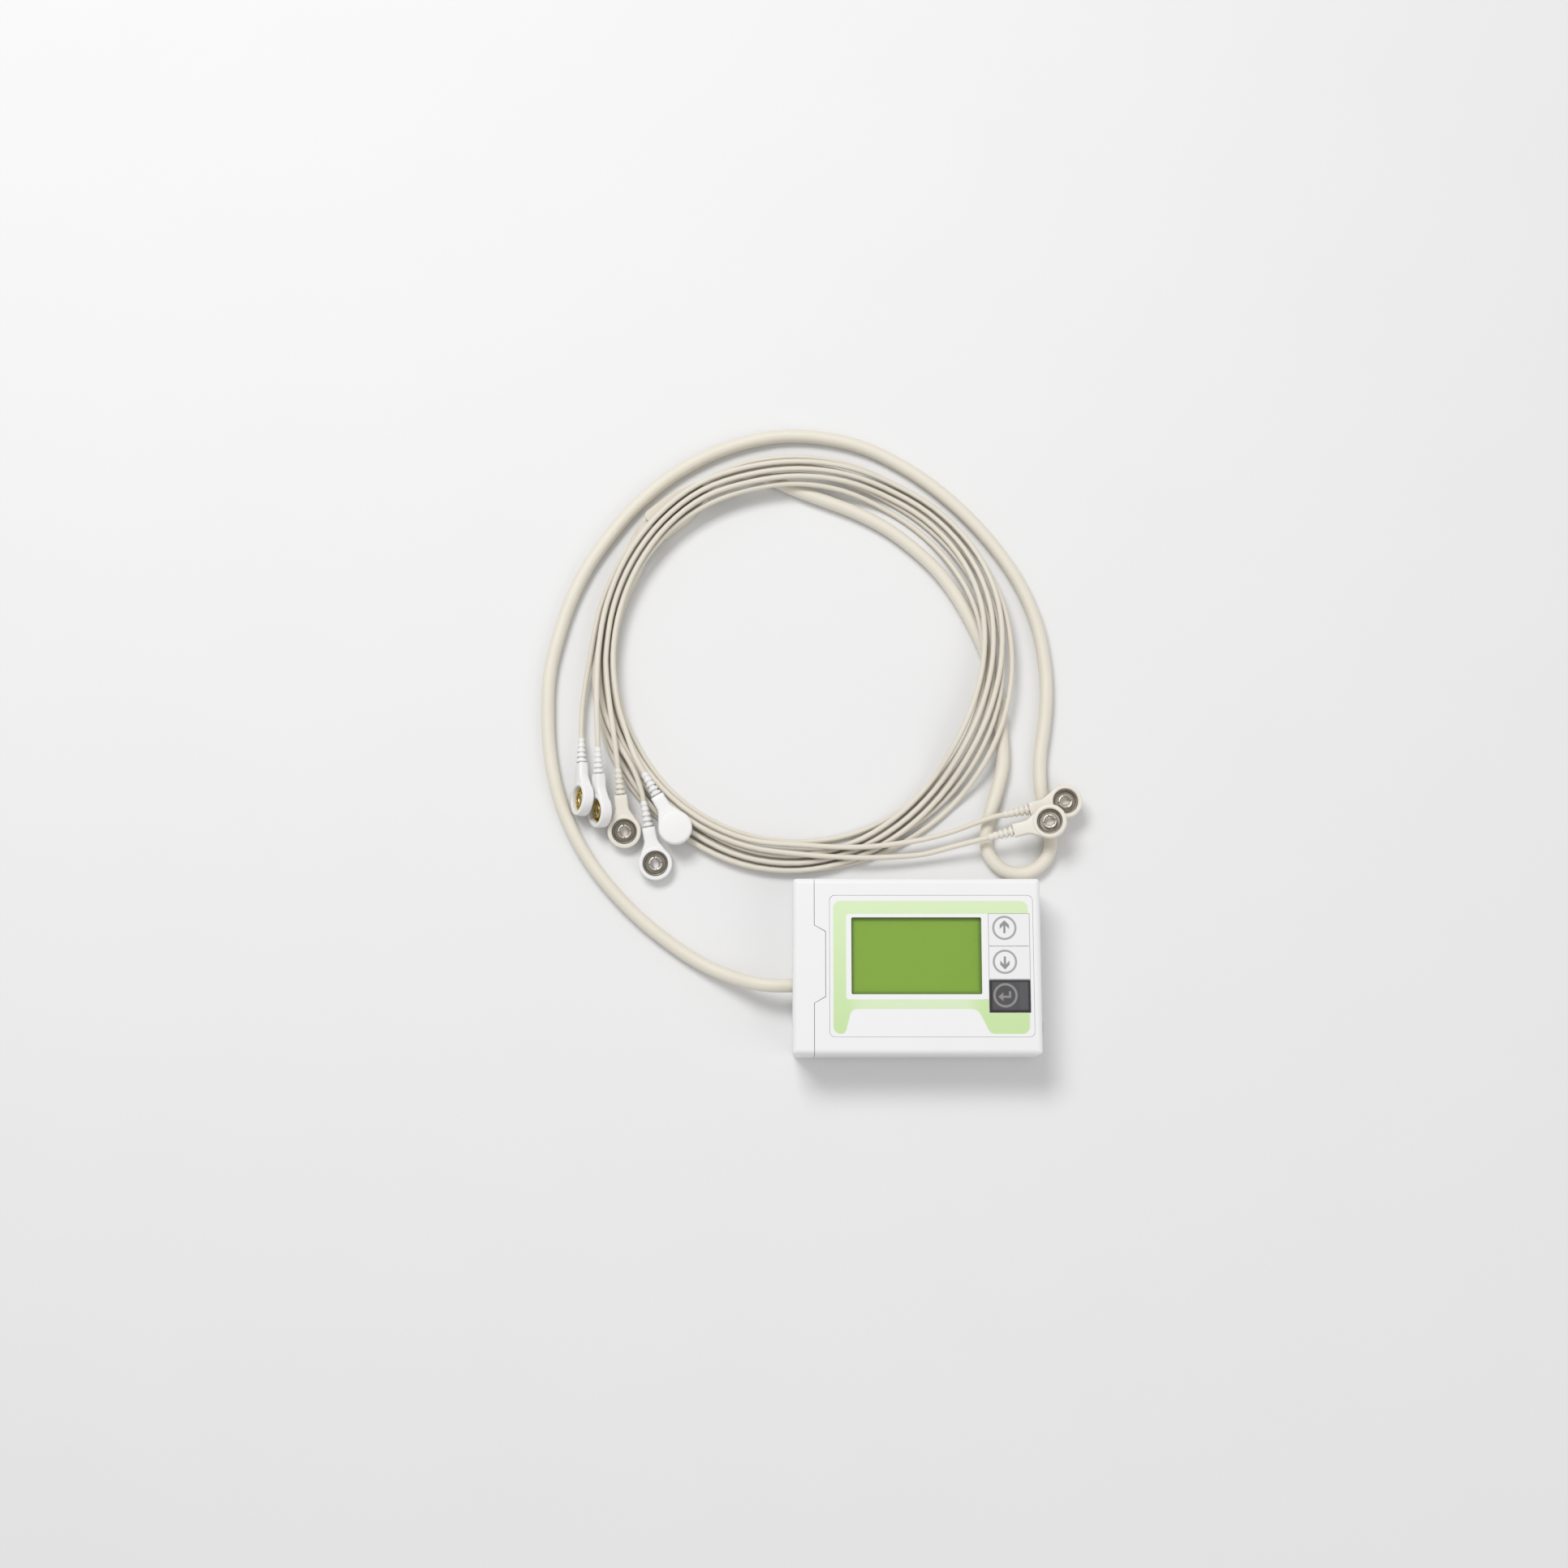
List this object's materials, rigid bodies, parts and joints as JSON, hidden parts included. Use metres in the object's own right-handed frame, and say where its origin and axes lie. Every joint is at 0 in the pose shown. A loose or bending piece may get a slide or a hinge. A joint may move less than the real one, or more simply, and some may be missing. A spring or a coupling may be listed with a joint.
{
  "type": "ecg home monitor",
  "caption": "Handheld heart-rhythm recorder with a reflective display, arrow and enter keys, and a fixed patient cable that splits into thin leads with snap clips.",
  "frame": {"origin": "middle of the recorder's flat back, on the surface it lies on", "axes": "+X to the right across the face, +Y to the top edge of the face, +Z out of the face"},
  "size_m": [0.2096, 0.2492, 0.0242],
  "materials": {
    "rear_white": "fine matt",
    "front_white": "fine matt",
    "cap_white": "fine matt",
    "printed_film": "satin film, pale green print on white",
    "clear_lens": "clear",
    "display": "green reflective, segments off",
    "display_holder": "matt white",
    "white_key": "satin, grey print",
    "dark_key": "satin, pale print",
    "black_parts": "moulded",
    "board": "solder mask",
    "bright_steel": "plated",
    "soft_cover": "matt soft",
    "header_plastic": "moulded",
    "cell": "printed sleeve on a dry cell",
    "spring_steel": "nickel plated",
    "screw_steel": "zinc plated",
    "cable_fitting": "matt",
    "cable_jacket": "matt cream jacket",
    "lead_jacket": "matt cream jacket",
    "clip_plastic": "satin moulded",
    "steel_socket": "turned and pressed",
    "brass_socket": "turned and pressed"
  },
  "bodies": {
    "recorder": {"rear_shell": "rear_white", "front_shell": "front_white", "cable_end_cap": "cap_white", "front_overlay": "printed_film", "display_lens": "clear_lens", "display_glass": "display", "display_backlight": "display_holder", "key_switches": "black_parts", "main_board": "board", "board_chips": "black_parts", "buzzer": "black_parts", "usb_socket": "bright_steel", "lead_header": "header_plastic", "battery": "cell", "battery_spring": "spring_steel", "battery_contact": "spring_steel", "case_screws": "screw_steel", "cable_gland": "cable_fitting", "cable_anchor": "cable_jacket", "trunk_cable": "cable_jacket", "lead_splitter": "cable_fitting", "lead_wire_1": "lead_jacket", "lead_wire_2": "lead_jacket", "lead_wire_3": "lead_jacket", "lead_wire_4": "lead_jacket", "lead_wire_5": "lead_jacket", "lead_wire_6": "lead_jacket", "lead_wire_7": "lead_jacket", "lead_clip_1": "clip_plastic", "lead_clip_2": "clip_plastic", "lead_clip_3": "clip_plastic", "lead_clip_4": "clip_plastic", "lead_clip_5": "clip_plastic", "lead_clip_6": "clip_plastic", "lead_clip_7": "clip_plastic", "snap_socket_1": "steel_socket", "snap_socket_2": "steel_socket", "snap_socket_3": "steel_socket", "snap_socket_4": "brass_socket", "snap_socket_5": "steel_socket", "snap_socket_6": "steel_socket", "snap_socket_7": "brass_socket"},
    "up_key": {"up_key": "white_key"},
    "down_key": {"down_key": "white_key"},
    "enter_key": {"enter_key": "dark_key"},
    "battery_door": {"battery_door": "rear_white"},
    "port_cover": {"port_cover": "soft_cover"}
  },
  "joints": [
    {"name": "up_key_press", "type": "slide", "parent": "recorder", "child": "up_key", "axis": [0, 0, -1], "range_m": [0, 0.0005], "stiffness_N_per_m": 2000},
    {"name": "down_key_press", "type": "slide", "parent": "recorder", "child": "down_key", "axis": [0, 0, -1], "range_m": [0, 0.0005], "stiffness_N_per_m": 2000},
    {"name": "enter_key_press", "type": "slide", "parent": "recorder", "child": "enter_key", "axis": [0, 0, -1], "range_m": [0, 0.0005], "stiffness_N_per_m": 2000},
    {"name": "battery_door_slide", "type": "slide", "parent": "recorder", "child": "battery_door", "axis": [0, -1, 0], "range_m": [0, 0.003]},
    {"name": "port_cover_pull", "type": "slide", "parent": "recorder", "child": "port_cover", "axis": [1, 0, 0], "range_m": [0, 0.006]}
  ]
}
